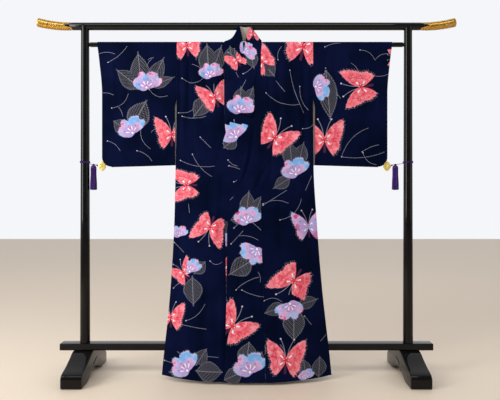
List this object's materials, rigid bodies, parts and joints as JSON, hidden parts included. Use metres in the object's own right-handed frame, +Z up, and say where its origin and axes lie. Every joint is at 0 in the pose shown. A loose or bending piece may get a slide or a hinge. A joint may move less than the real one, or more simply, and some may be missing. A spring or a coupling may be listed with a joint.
{
  "type": "cotton yukata robe on a kimono stand",
  "caption": "Navy cotton yukata robe with coral butterflies and lilac blooms, hung flat on a black lacquer kimono stand with gilt rail ends and purple tassels",
  "frame": {"origin": "on the floor, midway between the stand's posts and under the hanging pole", "axes": "+Z is up, the robe's front faces -Y, and the wearer's left is at +X"},
  "size_m": [1.9416, 0.374, 1.654],
  "materials": {
    "printed_cotton": "navy cotton with a coral, lilac and grey print, matte",
    "black_lacquer": "black lacquer on wood, polished",
    "gilt_metal": "gilt, engraved, polished",
    "pale_gilt": "pale gilt, satin",
    "purple_thread": "twisted silk thread, soft sheen"
  },
  "bodies": {
    "root": {"body_right": "printed_cotton", "body_left": "printed_cotton", "overlap_right": "printed_cotton", "overlap_left": "printed_cotton", "sleeve_right": "printed_cotton", "sleeve_left": "printed_cotton", "collar": "printed_cotton", "over_collar": "printed_cotton", "top_rail": "black_lacquer", "finial_right": "gilt_metal", "finial_left": "gilt_metal", "hanging_pole": "black_lacquer", "post_right": "black_lacquer", "post_left": "black_lacquer", "bottom_rail": "black_lacquer", "foot_right": "black_lacquer", "foot_left": "black_lacquer", "tie_cord_right": "purple_thread", "tie_cord_left": "purple_thread", "tassel_right": "purple_thread", "tassel_left": "purple_thread", "clip_right": "pale_gilt", "clip_left": "pale_gilt"}
  },
  "joints": []
}
